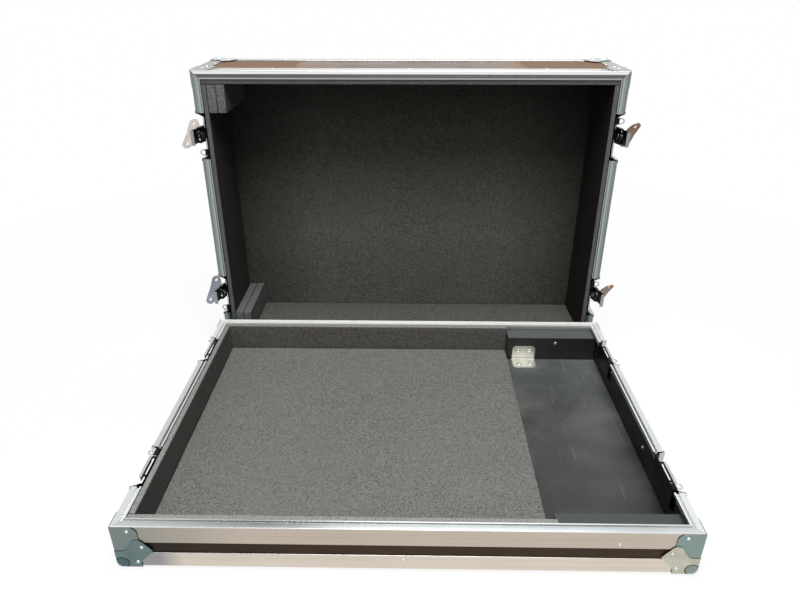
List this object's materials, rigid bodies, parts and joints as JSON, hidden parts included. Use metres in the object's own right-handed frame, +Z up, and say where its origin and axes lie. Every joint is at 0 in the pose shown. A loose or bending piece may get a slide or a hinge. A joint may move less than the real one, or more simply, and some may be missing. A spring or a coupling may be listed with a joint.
{
  "type": "mixer flight case",
  "caption": "Shallow flight case base with foam lining and a bare cable bay, and its foam-lined lift-off lid stood on edge behind it, butterfly latches released.",
  "frame": {"origin": "on the floor, under the middle of the base and lid as they stand in the picture", "axes": "+X to the case's right as seen from the front, +Y to the rear, +Z up"},
  "size_m": [1.0376, 0.927, 0.697],
  "materials": {
    "black_laminate": "plywood faced with smooth black laminate",
    "aluminium": "drawn extrusion, lightly scuffed",
    "zinc_plate": "zinc-plated steel",
    "dark_steel": "dark pressed steel with a bright lip",
    "foam": "closed-cell foam with a fine woven-looking face"
  },
  "bodies": {
    "base": {"base_floor_panel": "black_laminate", "base_front_panel": "black_laminate", "base_rear_panel": "black_laminate", "base_left_panel": "black_laminate", "base_right_panel": "black_laminate", "base_edge_angles": "aluminium", "base_front_rim": "aluminium", "base_rear_rim": "aluminium", "base_left_rim": "aluminium", "base_right_rim": "aluminium", "base_front_left_corner": "zinc_plate", "base_front_right_corner": "zinc_plate", "base_rear_left_corner": "zinc_plate", "base_rear_right_corner": "zinc_plate", "base_foam_floor": "foam", "base_foam_walls": "foam", "bay_front_block": "black_laminate", "bay_rear_block": "black_laminate", "bay_bracket": "zinc_plate", "left_front_keeper": "zinc_plate", "left_rear_keeper": "zinc_plate", "right_front_keeper": "zinc_plate", "right_rear_keeper": "zinc_plate"},
    "lid": {"lid_top_panel": "black_laminate", "lid_front_panel": "black_laminate", "lid_rear_panel": "black_laminate", "lid_left_panel": "black_laminate", "lid_right_panel": "black_laminate", "lid_edge_angles": "aluminium", "lid_front_rim": "aluminium", "lid_rear_rim": "aluminium", "lid_left_rim": "aluminium", "lid_right_rim": "aluminium", "lid_front_left_corner": "zinc_plate", "lid_front_right_corner": "zinc_plate", "lid_rear_left_corner": "zinc_plate", "lid_rear_right_corner": "zinc_plate", "lid_foam_liner": "foam", "lid_foam_block_front": "foam", "lid_foam_block_rear": "foam", "left_front_latch_dish": "zinc_plate", "left_rear_latch_dish": "zinc_plate", "right_front_latch_dish": "zinc_plate", "right_rear_latch_dish": "zinc_plate"},
    "left_front_latch_carrier_body": {"left_front_latch_carrier": "zinc_plate"},
    "left_front_latch_spindle_body": {"left_front_latch_spindle": "zinc_plate"},
    "left_front_latch_wing_body": {"left_front_latch_wing": "zinc_plate"},
    "left_front_latch_claw_body": {"left_front_latch_claw": "dark_steel"},
    "left_rear_latch_carrier_body": {"left_rear_latch_carrier": "zinc_plate"},
    "left_rear_latch_spindle_body": {"left_rear_latch_spindle": "zinc_plate"},
    "left_rear_latch_wing_body": {"left_rear_latch_wing": "zinc_plate"},
    "left_rear_latch_claw_body": {"left_rear_latch_claw": "dark_steel"},
    "right_front_latch_carrier_body": {"right_front_latch_carrier": "zinc_plate"},
    "right_front_latch_spindle_body": {"right_front_latch_spindle": "zinc_plate"},
    "right_front_latch_wing_body": {"right_front_latch_wing": "zinc_plate"},
    "right_front_latch_claw_body": {"right_front_latch_claw": "dark_steel"},
    "right_rear_latch_carrier_body": {"right_rear_latch_carrier": "zinc_plate"},
    "right_rear_latch_spindle_body": {"right_rear_latch_spindle": "zinc_plate"},
    "right_rear_latch_wing_body": {"right_rear_latch_wing": "zinc_plate"},
    "right_rear_latch_claw_body": {"right_rear_latch_claw": "dark_steel"}
  },
  "joints": [
    {"name": "lid_lift", "type": "slide", "parent": "base", "child": "lid", "axis": [0, 0, 1], "range_m": [0, 0.3]},
    {"name": "left_front_latch_tilt", "type": "hinge", "parent": "lid", "child": "left_front_latch_carrier_body", "pos_m": [-0.4675, 0.2985, 0.5485], "axis": [0, 0, 1], "range_deg": [0, 14]},
    {"name": "left_front_latch_turn", "type": "hinge", "parent": "left_front_latch_carrier_body", "child": "left_front_latch_spindle_body", "pos_m": [-0.4727, 0.27764, 0.5485], "axis": [-0.9703, 0.2419, 0], "range_deg": [-45, 135]},
    {"name": "left_front_latch_fold", "type": "hinge", "parent": "left_front_latch_spindle_body", "child": "left_front_latch_wing_body", "pos_m": [-0.48318, 0.28025, 0.5485], "axis": [0.1711, 0.6861, 0.7071], "range_deg": [0, 90]},
    {"name": "left_front_latch_draw", "type": "slide", "parent": "left_front_latch_carrier_body", "child": "left_front_latch_claw_body", "axis": [0.2419, 0.9703, 0], "range_m": [-0.00261, 0.00781]},
    {"name": "left_rear_latch_tilt", "type": "hinge", "parent": "lid", "child": "left_rear_latch_carrier_body", "pos_m": [-0.4675, 0.2985, 0.1485], "axis": [0, 0, 1], "range_deg": [0, 14]},
    {"name": "left_rear_latch_turn", "type": "hinge", "parent": "left_rear_latch_carrier_body", "child": "left_rear_latch_spindle_body", "pos_m": [-0.4727, 0.27764, 0.1485], "axis": [-0.9703, 0.2419, 0], "range_deg": [-45, 135]},
    {"name": "left_rear_latch_fold", "type": "hinge", "parent": "left_rear_latch_spindle_body", "child": "left_rear_latch_wing_body", "pos_m": [-0.48318, 0.28025, 0.1485], "axis": [0.1711, 0.6861, 0.7071], "range_deg": [0, 90]},
    {"name": "left_rear_latch_draw", "type": "slide", "parent": "left_rear_latch_carrier_body", "child": "left_rear_latch_claw_body", "axis": [0.2419, 0.9703, 0], "range_m": [-0.00261, 0.00781]},
    {"name": "right_front_latch_tilt", "type": "hinge", "parent": "lid", "child": "right_front_latch_carrier_body", "pos_m": [0.4675, 0.2985, 0.5485], "axis": [0, 0, -1], "range_deg": [0, 14]},
    {"name": "right_front_latch_turn", "type": "hinge", "parent": "right_front_latch_carrier_body", "child": "right_front_latch_spindle_body", "pos_m": [0.4727, 0.27764, 0.5485], "axis": [0.9703, 0.2419, 0], "range_deg": [-36, 144]},
    {"name": "right_front_latch_fold", "type": "hinge", "parent": "right_front_latch_spindle_body", "child": "right_front_latch_wing_body", "pos_m": [0.48318, 0.28025, 0.5485], "axis": [-0.1422, 0.5703, -0.809], "range_deg": [0, 90]},
    {"name": "right_front_latch_draw", "type": "slide", "parent": "right_front_latch_carrier_body", "child": "right_front_latch_claw_body", "axis": [-0.2419, 0.9703, 0], "range_m": [-0.00209, 0.00833]},
    {"name": "right_rear_latch_tilt", "type": "hinge", "parent": "lid", "child": "right_rear_latch_carrier_body", "pos_m": [0.4675, 0.2985, 0.1485], "axis": [0, 0, -1], "range_deg": [0, 14]},
    {"name": "right_rear_latch_turn", "type": "hinge", "parent": "right_rear_latch_carrier_body", "child": "right_rear_latch_spindle_body", "pos_m": [0.4727, 0.27764, 0.1485], "axis": [0.9703, 0.2419, 0], "range_deg": [-36, 144]},
    {"name": "right_rear_latch_fold", "type": "hinge", "parent": "right_rear_latch_spindle_body", "child": "right_rear_latch_wing_body", "pos_m": [0.48318, 0.28025, 0.1485], "axis": [-0.1422, 0.5703, -0.809], "range_deg": [0, 90]},
    {"name": "right_rear_latch_draw", "type": "slide", "parent": "right_rear_latch_carrier_body", "child": "right_rear_latch_claw_body", "axis": [-0.2419, 0.9703, 0], "range_m": [-0.00209, 0.00833]}
  ],
  "couplings": [
    {"joint": "left_front_latch_draw", "follows": "left_front_latch_turn", "m_per_rad": 0.0033104},
    {"joint": "left_rear_latch_draw", "follows": "left_rear_latch_turn", "m_per_rad": 0.0033104},
    {"joint": "right_front_latch_draw", "follows": "right_front_latch_turn", "m_per_rad": 0.0033104},
    {"joint": "right_rear_latch_draw", "follows": "right_rear_latch_turn", "m_per_rad": 0.0033104}
  ]
}
